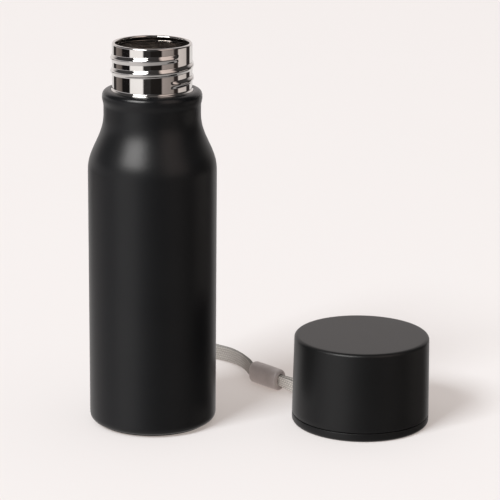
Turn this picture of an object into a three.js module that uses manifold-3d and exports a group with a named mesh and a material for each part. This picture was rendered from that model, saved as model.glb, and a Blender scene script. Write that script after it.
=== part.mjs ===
// A half-litre vacuum flask standing open, with its insulated screw cap standing beside it on its
// open end and a wrist strap looped to the cap. Millimetres, +Z up. The origin is the middle of the
// flask's flat foot, and +X points from the flask's axis to the cap's axis.
import * as THREE from "three";
import { mergeVertices } from "three/addons/utils/BufferGeometryUtils.js";
import Module from "manifold-3d";

const wasm = await Module();
wasm.setup();

// Driving dimensions.
const roundSides = 40; // facets round the large turned pieces
const smallSides = 20; // facets round the small ones
const gap = 0.3; // clearance between pieces that touch
const steelWall = 0.8;
const linerWall = 0.6;

const bodyRadius = 35.1;
const waistRadius = 26.36; // narrowest place, between the shoulder and the rolled bead
const beadRadius = 27.1;
const shoulderStart = 143.2; // height where the body begins to turn in
const waistBottom = 174.5;
const waistTop = 178.6;
const beadMiddle = 183.8;
const ledgeHeight = 187.7; // top of the rolled bead, where the bare steel neck comes out
const ledgeRadius = 23.3;
const footEdge = 1.2; // height of the shell's bottom edge
const cornerRadius = 4.2; // rounding between the body and its foot

const neckRadius = 21.6;
const mouthRadius = 19.9;
const mouthHeight = 213.2;
const threadPitch = 7;
const threadTurns = 2;
const threadHeight = 0.85;
const threadWidth = 4.3;
const threadStart = 193.2; // height of the ridge's lower end, on its crest
const threadStartAngle = -54; // degrees from +X about the flask's axis

const linerRadius = 32.3;
const linerShoulderStart = 139;
const linerNeckStart = 170;
const linerJoint = 14; // height where the liner's wall meets its bottom
const linerPlate = 10; // height of the liner bottom's underside, at its rounded edge
const outerPlate = 5.4; // height of the outer bottom's underside
const sealRecess = 1.8; // depth of the cup in the outer bottom that the seal sits in
const sealHoleRadius = 0.8; // the hole that the air is drawn out through
const padRadius = 28.4;
const getterRadial = 15; // off the axis, between the two bottoms

const capCentre = 116; // from the flask's axis to the cap's axis
const capRadiusAtMouth = 38.2;
const capRadiusAtTop = 37.45;
const capHeight = 50;
const capWall = 1.8;
const capEdge = 2; // rounding of the cap's top and bottom edges
const ringHeight = 4.9; // the strap ring at the cap's open end
const seam = 0.4; // visible line between the strap ring and the cap shell
const socketRadius = 22.9; // bore that takes the neck, at the thread's root
const socketBottom = 9.6;
const socketTop = 36.2;
const socketWall = 1.7;
const skirtRadius = 27.8; // wider bore below the socket, round the bead
const ringBore = 35.3; // inside of the strap ring, at the cap's open end
const ringLip = 33.6; // inside of its upper part, which the hub's lower flange holds up
const hubRadius = 33.2;
const hubFlange = 36;

const lugAngle = 133; // degrees from +X about the cap's axis
const lugPinRadial = 44.5;
const lugPinRadius = 1.3;
const lugWidth = 6.8;
const lugBottom = 0.3;
const lugTop = 12.2;
const lugJaw = { start: 40.7, end: 47.6, bottom: 1.5, top: 10.6 }; // the gap that the tape goes through

const tapeWidth = 7; // the short tape between the lug and the sleeve
const tapeThickness = 1.1;
const tapeTurnRadius = 2.6;
const sleeveNear = 64.8; // radial distances from the cap's axis, along the lug's direction
const sleeveFar = 87.2;
const sleeveHeight = 12.4;
const sleeveThickness = 9.6;
const sleeveMiddle = 6.6; // height of the sleeve's middle line
const sleeveBore = { width: 4.6, height: 9.6, step: 5, nearHeight: 7.6 }; // lower round the tape
const crimpStart = 70.7; // the crimp inside the sleeve, that the strap and the tape end in
const crimpLength = 11;
const strapWidth = 8.4;
const strapThickness = 1.4;

// Route of the wrist strap's middle line: out of the sleeve, round the loop behind the flask and
// back into the sleeve.
const strapRoute = [
  [59.1, 59.3, 6.6], [55.7, 62.7, 6.8], [53.9, 67.4, 7.1], [52.4, 74.2, 6.9], [50, 82.2, 6.3],
  [46.5, 90.8, 5.6], [41, 99, 5], [33.2, 105.2, 4.6], [22.5, 108.6, 4.6], [8.5, 110.2, 4.6],
  [-6, 111, 4.6], [-20, 114.2, 4.6], [-31, 121.5, 4.6], [-36, 132.5, 4.6], [-34.5, 144.5, 4.6],
  [-27, 154, 4.6], [-15, 158.5, 4.6], [-2.5, 157.5, 4.6], [8.5, 152, 4.6], [15.5, 143, 4.6],
  [18.8, 132.5, 4.6], [21.9, 122.8, 4.6], [27.2, 114.9, 4.6], [34.6, 107.9, 4.6],
  [43, 100.4, 4.7], [48.4, 91.6, 4.9], [51.9, 82.8, 5.4], [54.3, 74.6, 6], [55.7, 68, 6.4],
  [57.3, 63.9, 6.5], [60.6, 60.8, 6.6],
];

// One side of the short tape's middle line, from the sleeve towards the lug's pin, as radial
// distance from the cap's axis, distance to the side and height. It turns round the pin and comes
// back the same way on the other side.
const tapeSide = [
  [70.4, 0.85, 6.6], [66, 0.95, 6.6], [60, 1.4, 6.55], [54, 1.85, 6.45], [48.5, 2.4, 6.4],
];
const tapeTurnHeight = 6.4;

// Materials.
const material = (color, roughness, metalness) =>
  new THREE.MeshStandardMaterial({ color, roughness, metalness });
const blackPowderCoat = material(0x19191b, 0.55, 0.1);
const mirrorSteel = material(0xc9c5c0, 0.12, 1);
const satinSteel = material(0xb5b2ae, 0.35, 1);
const copper = material(0xb87545, 0.3, 1);
const sealGlass = material(0x2c3a3a, 0.15, 0);
const getterMetal = material(0x77746f, 0.6, 1);
const blackPlastic = material(0x242323, 0.5, 0);
const greyPlastic = material(0x4a4847, 0.6, 0);
const blackRubber = material(0x151515, 0.9, 0);
const clearSilicone = material(0xcfcac2, 0.5, 0);
const whiteFoam = material(0xe9e6df, 0.9, 0);
const greySilicone = material(0x7d7672, 0.6, 0);
const greyWebbing = material(0x857e76, 0.9, 0);

// Helpers.
const radians = THREE.MathUtils.degToRad;

// A piece turned about Z from a Path of (radius, height) that closes on itself or on the axis.
function turned(path, sides = roundSides, divisions = 4) {
  let points = path.getPoints(divisions);
  if (THREE.ShapeUtils.area(points) < 0) points = points.reverse();
  return new THREE.LatheGeometry(points, sides).rotateX(Math.PI / 2);
}

// The closed path of a sheet: its outer face, given from the bottom up, and the same face moved in
// by the wall's thickness.
function sheetPath(outerPath, wall, divisions = 4) {
  const outer = outerPath.getPoints(divisions);
  const inner = outer.map((point, i) => {
    const before = outer[Math.max(i - 1, 0)];
    const after = outer[Math.min(i + 1, outer.length - 1)];
    const along = after.clone().sub(before).normalize();
    return new THREE.Vector2(point.x - along.y * wall, point.y + along.x * wall);
  });
  const path = new THREE.Path().setFromPoints([...outer, ...inner.reverse()]);
  path.closePath();
  return path;
}

// A closed path through corner points.
function polygon(corners) {
  const path = new THREE.Path().setFromPoints(corners.map(([x, y]) => new THREE.Vector2(x, y)));
  path.closePath();
  return path;
}

// A plain disc or tube with square edges, between two heights.
function disc(innerRadius, outerRadius, bottom, top, sides = smallSides) {
  const corners = [[innerRadius, bottom], [outerRadius, bottom], [outerRadius, top], [innerRadius, top]];
  return turned(polygon(corners), sides);
}

// A manifold-3d solid of a three.js geometry.
function solid(geometry) {
  const bare = new THREE.BufferGeometry().setAttribute("position", geometry.getAttribute("position"));
  if (geometry.index) bare.setIndex(geometry.index);
  const merged = mergeVertices(bare, 1e-4);
  return new wasm.Manifold(new wasm.Mesh({
    numProp: 3,
    vertProperties: new Float32Array(merged.attributes.position.array),
    triVerts: new Uint32Array(merged.index.array),
  }));
}

// A three.js geometry of a manifold-3d solid.
function geometryOf(made) {
  const mesh = made.getMesh();
  const geometry = new THREE.BufferGeometry();
  geometry.setAttribute("position", new THREE.BufferAttribute(mesh.vertProperties, 3));
  geometry.setIndex(new THREE.BufferAttribute(mesh.triVerts, 1));
  return geometry;
}

// A rolled thread: a straight ridge bent round Z. Its section stands out from the wall by height
// (inwards when height is negative) and sinks into it at both ends.
function threadRidge({ wallRadius, height, width, start, startAngle, turns, stepsPerTurn }) {
  const root = -0.25 * Math.sign(height);
  const section = new THREE.Shape();
  section.moveTo(root, -width / 2);
  section.quadraticCurveTo(height, -width / 4, height, 0);
  section.quadraticCurveTo(height, width / 4, root, width / 2);
  section.closePath();
  const steps = Math.round(turns * stepsPerTurn);
  const ridge = new THREE.ExtrudeGeometry(section, {
    depth: turns, steps, bevelEnabled: false, curveSegments: 2,
  });
  const place = ridge.getAttribute("position");
  const runOut = 1.5 / stepsPerTurn;
  for (let i = 0; i < place.count; i++) {
    const turn = turns - place.getZ(i); // counted back, so that the faces still point out
    const fromEnd = Math.min(turn, turns - turn) / runOut;
    const fullness = THREE.MathUtils.clamp(0.45 + 0.55 * fromEnd, 0, 1);
    const radius = wallRadius + root + (place.getX(i) - root) * fullness;
    const angle = radians(startAngle) + 2 * Math.PI * turn;
    const rise = start + threadPitch * turn + place.getY(i) * fullness;
    place.setXYZ(i, radius * Math.cos(angle), radius * Math.sin(angle), rise);
  }
  return ridge;
}

// A band along a curve, with a section given as (up, sideways) points.
function alongCurve(points, section, steps) {
  const curve = new THREE.CatmullRomCurve3(points, false, "centripetal");
  return new THREE.ExtrudeGeometry(section, { extrudePath: curve, steps, curveSegments: 2 });
}

// Flask, from the outside in.
function outerShellGeometry() {
  const shoulderRun = waistBottom - shoulderStart;
  const face = new THREE.Path();
  face.moveTo(bodyRadius - cornerRadius, footEdge);
  face.quadraticCurveTo(bodyRadius, footEdge, bodyRadius, footEdge + cornerRadius);
  face.lineTo(bodyRadius, shoulderStart);
  face.bezierCurveTo(
    bodyRadius, shoulderStart + 0.38 * shoulderRun,
    waistRadius, waistBottom - 0.42 * shoulderRun,
    waistRadius, waistBottom,
  );
  face.lineTo(waistRadius, waistTop);
  face.bezierCurveTo(waistRadius, waistTop + 2, beadRadius, waistTop + 3, beadRadius, beadMiddle);
  face.bezierCurveTo(
    beadRadius, beadMiddle + 2.4,
    beadRadius - 1.1, ledgeHeight,
    ledgeRadius + 0.9, ledgeHeight,
  );
  face.lineTo(ledgeRadius, ledgeHeight - 0.3);
  return turned(sheetPath(face, steelWall));
}

function threadedNeckGeometry() {
  const wall = new THREE.Path();
  const lipRadius = (neckRadius - mouthRadius) / 2;
  const lipCentre = neckRadius - lipRadius;
  const foot = ledgeHeight + 0.3;
  const hiddenFoot = ledgeHeight - 3.5; // inside the shell, where the neck is welded to it
  const inner = mouthRadius + linerWall + gap;
  wall.moveTo(neckRadius - linerWall, hiddenFoot);
  wall.lineTo(ledgeRadius - gap, hiddenFoot);
  wall.lineTo(ledgeRadius - gap, foot);
  wall.quadraticCurveTo(neckRadius, foot + 0.1, neckRadius, foot + 1.7);
  wall.lineTo(neckRadius, mouthHeight - lipRadius);
  wall.absarc(lipCentre, mouthHeight - lipRadius, lipRadius, 0, Math.PI, false);
  wall.lineTo(mouthRadius, mouthHeight - 2.4);
  wall.lineTo(inner, mouthHeight - 3);
  wall.closePath();
  const ridge = threadRidge({
    wallRadius: neckRadius, height: threadHeight, width: threadWidth, start: threadStart,
    startAngle: threadStartAngle, turns: threadTurns, stepsPerTurn: roundSides,
  });
  return geometryOf(solid(turned(wall)).add(solid(ridge)));
}

function linerGeometry() {
  const neck = mouthRadius + linerWall;
  const face = new THREE.Path();
  face.moveTo(linerRadius, linerJoint);
  face.lineTo(linerRadius, linerShoulderStart);
  face.bezierCurveTo(
    linerRadius, linerShoulderStart + 13,
    neck, linerNeckStart - 14,
    neck, linerNeckStart,
  );
  face.lineTo(neck, mouthHeight - 3.4);
  return turned(sheetPath(face, linerWall, 6));
}

function linerBottomGeometry() {
  const edge = 3.4;
  const dome = 1.2; // rise of the bottom's middle, which stiffens it
  const face = new THREE.Path();
  face.moveTo(0, linerPlate + dome);
  face.lineTo(linerRadius - edge, linerPlate);
  face.quadraticCurveTo(linerRadius, linerPlate, linerRadius, linerPlate + edge);
  face.lineTo(linerRadius, linerJoint - gap);
  return turned(sheetPath(face, linerWall, 3));
}

function copperWrapGeometry() {
  const innerRadius = linerRadius + gap;
  const foil = 0.2;
  return disc(innerRadius, innerRadius + foil, linerJoint + 6, linerShoulderStart - 3, roundSides);
}

function outerBottomGeometry() {
  const rim = bodyRadius - steelWall - 0.5;
  const edge = 1.8;
  const face = new THREE.Path();
  face.moveTo(sealHoleRadius, outerPlate + sealRecess);
  face.lineTo(4.5, outerPlate + sealRecess);
  face.lineTo(5.6, outerPlate);
  face.lineTo(rim - edge, outerPlate);
  face.quadraticCurveTo(rim, outerPlate, rim, outerPlate + edge);
  face.lineTo(rim, linerPlate);
  return turned(sheetPath(face, steelWall, 3));
}

function vacuumSealGeometry() {
  const top = outerPlate + sealRecess - gap;
  const dome = new THREE.Path();
  dome.moveTo(0, outerPlate);
  dome.quadraticCurveTo(3.6, outerPlate, 4, top);
  dome.lineTo(0, top);
  dome.closePath();
  return turned(dome, smallSides);
}

// A shallow cup with a thin rim that laps under the shell's edge and a recess for the pad.
function baseCoverGeometry() {
  const rim = bodyRadius - cornerRadius + 0.4;
  const recess = padRadius + 0.4;
  const cupWall = 0.9;
  return turned(polygon([
    [0, footEdge + gap], [recess, footEdge + gap], [recess, gap], [rim - 0.4, gap],
    [rim, gap + 0.3], [rim, footEdge - gap], [recess + cupWall, footEdge - gap],
    [recess + cupWall, footEdge + gap + cupWall], [0, footEdge + gap + cupWall],
  ]));
}

// A strip folded into a tray for the pellet, with two feet welded under the liner's bottom.
function getterClipGeometry() {
  const width = 3;
  const metal = 0.4;
  const tray = 4.9; // half length of the tray
  const foot = 7; // half length over the feet
  const bottom = 6.9;
  const top = linerPlate - gap;
  const strip = polygon([
    [-foot, top - metal], [-tray, top - metal], [-tray, bottom], [tray, bottom],
    [tray, top - metal], [foot, top - metal], [foot, top], [tray - metal, top],
    [tray - metal, bottom + metal], [metal - tray, bottom + metal], [metal - tray, top],
    [-foot, top],
  ]);
  const shape = new THREE.Shape(strip.getPoints());
  return new THREE.ExtrudeGeometry(shape, { depth: width, bevelEnabled: false })
    .translate(0, 0, -width / 2)
    .rotateX(Math.PI / 2);
}

function getterPelletGeometry() {
  return disc(0, 4, 7.6, 9.2);
}

// Cap, in its own frame: on its axis, open end at height 0.
function capShellGeometry() {
  const bottom = ringHeight + seam;
  const face = new THREE.Path();
  face.moveTo(capRadiusAtMouth, bottom);
  face.lineTo(capRadiusAtTop, capHeight - capEdge);
  face.absarc(capRadiusAtTop - capEdge, capHeight - capEdge, capEdge, 0, Math.PI / 2, false);
  face.lineTo(0, capHeight);
  face.lineTo(0, capHeight - capWall);
  face.lineTo(capRadiusAtTop - capEdge, capHeight - capWall);
  face.lineTo(capRadiusAtTop - capWall, capHeight - capEdge);
  face.lineTo(capRadiusAtMouth - capWall, bottom);
  face.closePath();
  return turned(face);
}

// One moulding: the threaded socket, the wider skirt below it, and a hub that the strap ring turns
// on, with a flange under the ring and another inside the shell.
function capInsertGeometry() {
  const skirtOutside = skirtRadius + capWall;
  const bore = turned(polygon([
    [0, socketTop], [socketRadius, socketTop], [socketRadius, socketBottom],
    [skirtRadius - 1, socketBottom], [skirtRadius, socketBottom - 1],
    [skirtRadius, gap], [ringBore - 0.4, gap], [ringBore - 0.4, 1.6], [hubRadius, 1.6],
    [hubRadius, ringHeight + 0.8], [hubFlange, ringHeight + 0.8], [hubFlange, ringHeight + 2.3],
    [hubRadius - 1.6, ringHeight + 2.3], [hubRadius - 1.6, 3.2], [skirtOutside, 3.2],
    [skirtOutside, socketBottom + capWall], [socketRadius + socketWall, socketBottom + capWall],
    [socketRadius + socketWall, socketTop + capWall], [0, socketTop + capWall],
  ]));
  const ridge = threadRidge({
    wallRadius: socketRadius, height: -0.9, width: 2.4, start: 14.5, startAngle: 18,
    turns: 1.75, stepsPerTurn: roundSides,
  });
  return geometryOf(solid(bore).add(solid(ridge)));
}

function capFoamGeometry() {
  const inside = socketRadius + socketWall + gap;
  const middle = socketTop + capWall + gap;
  const bottom = socketBottom + capWall + gap;
  const top = capHeight - capWall - gap;
  const outside = capRadiusAtTop - capWall - 0.5;
  return turned(polygon([
    [0, middle], [inside, middle], [inside, bottom],
    [outside + 0.5, bottom], [outside, top - 1], [outside - 1, top], [0, top],
  ]));
}

function capGasketGeometry() {
  const top = socketTop - gap;
  const inside = mouthRadius - 2.9;
  const outside = socketRadius - 0.4;
  return turned(polygon([
    [inside, top], [inside, top - 1.6], [inside + 1.4, top - 2.4], [outside - 0.8, top - 2.4],
    [outside, top - 1.6], [outside, top],
  ]));
}

// One ear of the lug on the strap ring: a (radial, height) outline given its thickness.
// The lug on the strap ring: a C in the plane of its direction and height, open away from the cap,
// with a hole for the pin through both arms.
function lugGeometry() {
  const root = capRadiusAtMouth - 1; // sunk into the ring
  const back = capRadiusAtMouth + 0.6; // clear of the cap shell above the ring
  const outline = new THREE.Shape();
  outline.moveTo(root, lugBottom);
  outline.lineTo(lugJaw.end, lugBottom);
  outline.lineTo(lugJaw.end, lugJaw.bottom);
  outline.lineTo(lugJaw.start, lugJaw.bottom);
  outline.lineTo(lugJaw.start, lugJaw.top);
  outline.lineTo(lugJaw.end, lugJaw.top);
  outline.lineTo(lugJaw.end, lugTop);
  outline.lineTo(back + 1, lugTop);
  outline.lineTo(back, lugTop - 1);
  outline.lineTo(back, ringHeight);
  outline.lineTo(root, ringHeight);
  outline.closePath();
  const lug = new THREE.ExtrudeGeometry(outline, { depth: lugWidth, bevelEnabled: false })
    .rotateX(Math.PI / 2)
    .translate(0, lugWidth / 2, 0);
  const hole = new THREE.CylinderGeometry(lugPinRadius + gap, lugPinRadius + gap, 2 * lugTop, 16)
    .rotateX(Math.PI / 2)
    .translate(lugPinRadial, 0, 0);
  return geometryOf(solid(lug).subtract(solid(hole)));
}

function strapRingGeometry() {
  const outer = capRadiusAtMouth;
  const section = new THREE.Path();
  section.moveTo(ringBore, 0);
  section.lineTo(outer - capEdge, 0);
  section.absarc(outer - capEdge, capEdge, capEdge, -Math.PI / 2, 0, false);
  section.lineTo(outer, ringHeight);
  section.lineTo(ringLip, ringHeight);
  section.lineTo(ringLip, 2);
  section.lineTo(ringBore, 2);
  section.closePath();
  const lug = lugGeometry().rotateZ(radians(lugAngle));
  return geometryOf(solid(turned(section)).add(solid(lug)));
}

function lugPinGeometry() {
  const length = lugTop - lugBottom - 0.4;
  return new THREE.CylinderGeometry(lugPinRadius, lugPinRadius, length, 16)
    .rotateX(Math.PI / 2)
    .translate(lugPinRadial, 0, (lugTop + lugBottom) / 2);
}

// The short tape, sleeve and crimp, in the lug's frame: +X out from the cap's axis along the lug.
function lugTapeGeometry() {
  const turn = [];
  for (let step = 0; step <= 6; step++) {
    const angle = Math.PI / 2 + (Math.PI * step) / 6;
    turn.push([
      lugPinRadial + tapeTurnRadius * Math.cos(angle),
      tapeTurnRadius * Math.sin(angle),
      tapeTurnHeight,
    ]);
  }
  const back = tapeSide.map(([radial, sideways, height]) => [radial, -sideways, height]).reverse();
  const points = [...tapeSide, ...turn, ...back].map((point) => new THREE.Vector3(...point));
  return alongCurve(points, bandSection(tapeWidth, tapeThickness, 0.3), 56);
}

// A rectangle about the origin with round corners.
function roundedRectangle(shape, width, height, corner) {
  const right = width / 2 - corner;
  const top = height / 2 - corner;
  shape.absarc(right, top, corner, 0, Math.PI / 2, false);
  shape.absarc(-right, top, corner, Math.PI / 2, Math.PI, false);
  shape.absarc(-right, -top, corner, Math.PI, 1.5 * Math.PI, false);
  shape.absarc(right, -top, corner, 1.5 * Math.PI, 2 * Math.PI, false);
  shape.closePath();
  return shape;
}

// Turns a piece extruded along +Z so that it runs along +X with its height up.
function laidAlongX(geometry, start) {
  return geometry.rotateX(Math.PI / 2).rotateZ(Math.PI / 2).translate(start, 0, sleeveMiddle);
}

function sleeveGeometry() {
  const edge = 0.8;
  const length = sleeveFar - sleeveNear;
  const outline = roundedRectangle(
    new THREE.Shape(), sleeveThickness - 2 * edge, sleeveHeight - 2 * edge, 3.2,
  );
  const body = new THREE.ExtrudeGeometry(outline, {
    depth: length - 2 * edge, curveSegments: 4, bevelEnabled: true,
    bevelSize: edge, bevelThickness: edge, bevelSegments: 2,
  });
  const slot = (height, from, to) => solid(new THREE.ExtrudeGeometry(
    roundedRectangle(new THREE.Shape(), sleeveBore.width, height, 0.7),
    { depth: to - from, curveSegments: 3, bevelEnabled: false },
  ).translate(0, 0, from - edge));
  const bore = slot(sleeveBore.nearHeight, -1, sleeveBore.step + 1)
    .add(slot(sleeveBore.height, sleeveBore.step, length + 1));
  return laidAlongX(geometryOf(solid(body).subtract(bore)), sleeveNear + edge);
}

function crimpGeometry() {
  const outline = roundedRectangle(
    new THREE.Shape(), sleeveBore.width - 2 * gap, sleeveBore.height - 2 * gap, 0.6,
  );
  const crimp = new THREE.ExtrudeGeometry(outline, {
    depth: crimpLength, curveSegments: 3, bevelEnabled: false,
  });
  return laidAlongX(crimp, crimpStart);
}

// The section of a flat band on its edge: width upright, thickness across, corners cut off.
function bandSection(width, thickness, corner) {
  const [up, side] = [width / 2, thickness / 2];
  const section = new THREE.Shape();
  section.moveTo(-up, -side + corner);
  section.lineTo(-up + corner, -side);
  section.lineTo(up - corner, -side);
  section.lineTo(up, -side + corner);
  section.lineTo(up, side - corner);
  section.lineTo(up - corner, side);
  section.lineTo(-up + corner, side);
  section.lineTo(-up, side - corner);
  section.closePath();
  return section;
}

function wristStrapGeometry() {
  const points = strapRoute.map((point) => new THREE.Vector3(...point));
  return alongCurve(points, bandSection(strapWidth, strapThickness, 0.4), 76);
}

// The scene graph.
function piece(parent, name, geometry, look) {
  const mesh = new THREE.Mesh(geometry, look);
  mesh.name = name;
  parent.add(mesh);
  return mesh;
}

const root = new THREE.Group();

const flask = new THREE.Group();
root.add(flask);
piece(flask, "outer_shell", outerShellGeometry(), blackPowderCoat);
piece(flask, "threaded_neck", threadedNeckGeometry(), mirrorSteel);
piece(flask, "inner_liner", linerGeometry(), satinSteel);
piece(flask, "liner_bottom", linerBottomGeometry(), satinSteel);
piece(flask, "copper_wrap", copperWrapGeometry(), copper);
piece(flask, "outer_bottom", outerBottomGeometry(), satinSteel);
piece(flask, "vacuum_seal", vacuumSealGeometry(), sealGlass);
piece(flask, "getter_clip", getterClipGeometry(), satinSteel).position.x = getterRadial;
piece(flask, "getter_pellet", getterPelletGeometry(), getterMetal).position.x = getterRadial;
piece(flask, "base_cover", baseCoverGeometry(), blackPlastic);
piece(flask, "base_pad", disc(0, padRadius, 0, footEdge, roundSides), blackRubber);

const cap = new THREE.Group();
cap.position.x = capCentre;
root.add(cap);
piece(cap, "cap_shell", capShellGeometry(), blackPlastic);
piece(cap, "cap_insert", capInsertGeometry(), greyPlastic);
piece(cap, "cap_foam", capFoamGeometry(), whiteFoam);
piece(cap, "cap_gasket", capGasketGeometry(), clearSilicone);
piece(cap, "strap_ring", strapRingGeometry(), blackPlastic);

const lug = new THREE.Group();
lug.rotation.z = radians(lugAngle);
cap.add(lug);
piece(lug, "lug_pin", lugPinGeometry(), satinSteel);
piece(lug, "lug_tape", lugTapeGeometry(), greyWebbing);
piece(lug, "strap_sleeve", sleeveGeometry(), greySilicone);
piece(lug, "strap_crimp", crimpGeometry(), satinSteel);

piece(root, "wrist_strap", wristStrapGeometry(), greyWebbing);

export default root;
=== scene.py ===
# A black vacuum flask standing open on a pale studio floor, with its screw cap beside it on its open
# end. A short tape and a sleeve hold a woven wrist strap on the cap's swivel ring. Metres, in the
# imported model's frame.
import math

import bpy
from mathutils import Matrix, Vector

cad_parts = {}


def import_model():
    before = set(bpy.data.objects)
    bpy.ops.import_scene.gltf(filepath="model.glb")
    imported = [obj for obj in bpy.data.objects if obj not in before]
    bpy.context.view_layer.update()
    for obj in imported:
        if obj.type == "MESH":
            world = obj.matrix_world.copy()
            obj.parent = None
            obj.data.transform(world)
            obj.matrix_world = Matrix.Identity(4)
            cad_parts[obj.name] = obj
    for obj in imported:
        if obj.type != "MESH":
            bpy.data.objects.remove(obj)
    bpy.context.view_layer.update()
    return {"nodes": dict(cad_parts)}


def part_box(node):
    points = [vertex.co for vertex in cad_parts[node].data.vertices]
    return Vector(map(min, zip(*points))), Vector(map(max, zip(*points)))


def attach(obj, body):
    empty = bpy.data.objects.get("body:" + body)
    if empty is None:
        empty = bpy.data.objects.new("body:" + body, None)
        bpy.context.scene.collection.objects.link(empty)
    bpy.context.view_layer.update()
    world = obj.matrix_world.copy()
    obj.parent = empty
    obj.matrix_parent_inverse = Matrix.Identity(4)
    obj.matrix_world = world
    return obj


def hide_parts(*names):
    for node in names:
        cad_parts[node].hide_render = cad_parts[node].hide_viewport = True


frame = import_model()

# ---------------------------------------------------------------- sizes, from the frame
MM = 0.001
shell_low, shell_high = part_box("outer_shell")
neck_low, neck_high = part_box("threaded_neck")
liner_low, liner_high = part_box("inner_liner")
bottom_low, bottom_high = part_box("liner_bottom")
cap_low, cap_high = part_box("cap_shell")

# The turned profiles are written in millimetres, as the CAD part is.
BODY_RADIUS = shell_high.x / MM
LEDGE_HEIGHT = shell_high.z / MM  # top of the rolled bead
FOOT_EDGE = shell_low.z / MM
MOUTH_HEIGHT = neck_high.z / MM
CAP_CENTRE = (cap_low.x + cap_high.x) / 2 / MM
CAP_RADIUS = cap_high.y / MM  # at the cap's open end
CAP_HEIGHT = cap_high.z / MM
SHELL_BOTTOM = cap_low.z / MM
LINER_RADIUS = liner_high.x / MM

WAIST_RADIUS = 26.36
BEAD_RADIUS = 27.1
SHOULDER_START = 143.2
WAIST_BOTTOM = 174.5
WAIST_TOP = 178.6
BEAD_MIDDLE = 183.8
CORNER_RADIUS = 4.2
SHOULDER_PULL = 0.38  # how long the shoulder's curve keeps the body's direction, then the waist's,
WAIST_PULL = 0.42  # as shares of its height
STEEL_WALL = 0.8

NECK_RADIUS = 21.6
LEDGE_RADIUS = NECK_RADIUS + 0.75  # where the coat ends at the foot of the bare neck
MOUTH_RADIUS = 19.9
LINER_WALL = 0.6
THREAD_PITCH = 7.0
THREAD_TURNS = 2.0
THREAD_HEIGHT = 0.85
THREAD_WIDTH = 4.2
THREAD_START = 193.2  # height of the ridge's lower end
THREAD_ANGLE = -54.0  # degrees from +X where the ridge starts
THREAD_RISE = 0.06  # turns that the ridge takes to reach its full height at its lower end
THREAD_FALL = 0.03  # and to sink again at its upper end

CAP_TOP_RADIUS = 37.45
CAP_EDGE = 2.0
CAP_WALL = 1.8
RING_HEIGHT = 4.9
RING_BORE = 35.3
RING_LIP = 33.6

LUG_ANGLE = 133.0  # degrees from +X about the cap's axis
LUG_PIN_RADIAL = 44.5
LUG_PIN_RADIUS = 1.3
LUG_WIDTH = 6.8
LUG_BOTTOM = 0.3
LUG_TOP = 12.2
LUG_JAW = {"start": 40.7, "end": 47.6, "bottom": 1.5, "top": 10.6}

TAPE_WIDTH = 7.0
TAPE_THICKNESS = 1.1
TAPE_TURN_RADIUS = 2.6
SLEEVE_NEAR = 64.8
SLEEVE_FAR = 87.2
SLEEVE_HEIGHT = 12.4
SLEEVE_THICKNESS = 9.6
SLEEVE_MIDDLE = 6.6
SLEEVE_BORE_WIDTH = 4.6
SLEEVE_BORE_HEIGHT = 9.6  # round the crimp
SLEEVE_BORE_STEP = 5.0  # up to here from its near end the bore is lower, round the tape
SLEEVE_RING_POINTS = 72
STRAP_WIDTH = 8.4
STRAP_THICKNESS = 1.4
EDGE_SHADE_WIDTH = 0.9  # width along each edge of the webbing where shade is painted into its colour

# Routes of the strap and of the short tape, in metres. The wrist strap's runs out of the sleeve,
# round the loop behind the flask and back. The tape's is one side of it, from the sleeve to the
# lug's pin, as (radial from the cap's axis, sideways, height).
STRAP_ROUTE = [
    (0.0591, 0.0593, 0.0066), (0.0557, 0.0627, 0.0068), (0.0539, 0.0674, 0.0071),
    (0.0524, 0.0742, 0.0069), (0.05, 0.0822, 0.0063), (0.0465, 0.0908, 0.0056),
    (0.041, 0.099, 0.005), (0.0332, 0.1052, 0.0046), (0.0225, 0.1086, 0.0046),
    (0.0085, 0.1102, 0.0046), (-0.006, 0.111, 0.0046), (-0.02, 0.1142, 0.0046),
    (-0.031, 0.1215, 0.0046), (-0.036, 0.1325, 0.0046), (-0.0345, 0.1445, 0.0046),
    (-0.027, 0.154, 0.0046), (-0.015, 0.1585, 0.0046), (-0.0025, 0.1575, 0.0046),
    (0.0085, 0.152, 0.0046), (0.0155, 0.143, 0.0046), (0.0188, 0.1325, 0.0046),
    (0.0219, 0.1228, 0.0046), (0.0272, 0.1149, 0.0046), (0.0346, 0.1079, 0.0046),
    (0.043, 0.1004, 0.0047), (0.0484, 0.0916, 0.0049), (0.0519, 0.0828, 0.0054),
    (0.0543, 0.0746, 0.006), (0.0557, 0.068, 0.0064), (0.0573, 0.0639, 0.0065),
    (0.0606, 0.0608, 0.0066),
]
TAPE_SIDE = [
    (0.0704, 0.00085, 0.0066), (0.066, 0.00095, 0.0066), (0.06, 0.0014, 0.00655),
    (0.054, 0.00185, 0.00645), (0.0485, 0.0024, 0.0064),
]


# ---------------------------------------------------------------- camera
CAMERA_PLACE = (0.0535, -1.228, 0.4385)
CAMERA_LENS = 167.0
CAMERA_DOWN = 15.5  # degrees that it looks down
CAMERA_ROLL = 0.0092  # radians


def make_camera():
    data = bpy.data.cameras.new("camera")
    data.lens = CAMERA_LENS
    data.sensor_width = 36.0
    data.clip_start = 0.01
    data.clip_end = 100.0
    camera = bpy.data.objects.new("camera", data)
    bpy.context.scene.collection.objects.link(camera)
    pitch = math.radians(90.0 - CAMERA_DOWN)
    turn = Matrix.Rotation(pitch, 4, "X") @ Matrix.Rotation(CAMERA_ROLL, 4, "Z")
    camera.matrix_world = Matrix.Translation(CAMERA_PLACE) @ turn
    bpy.context.scene.camera = camera


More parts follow.
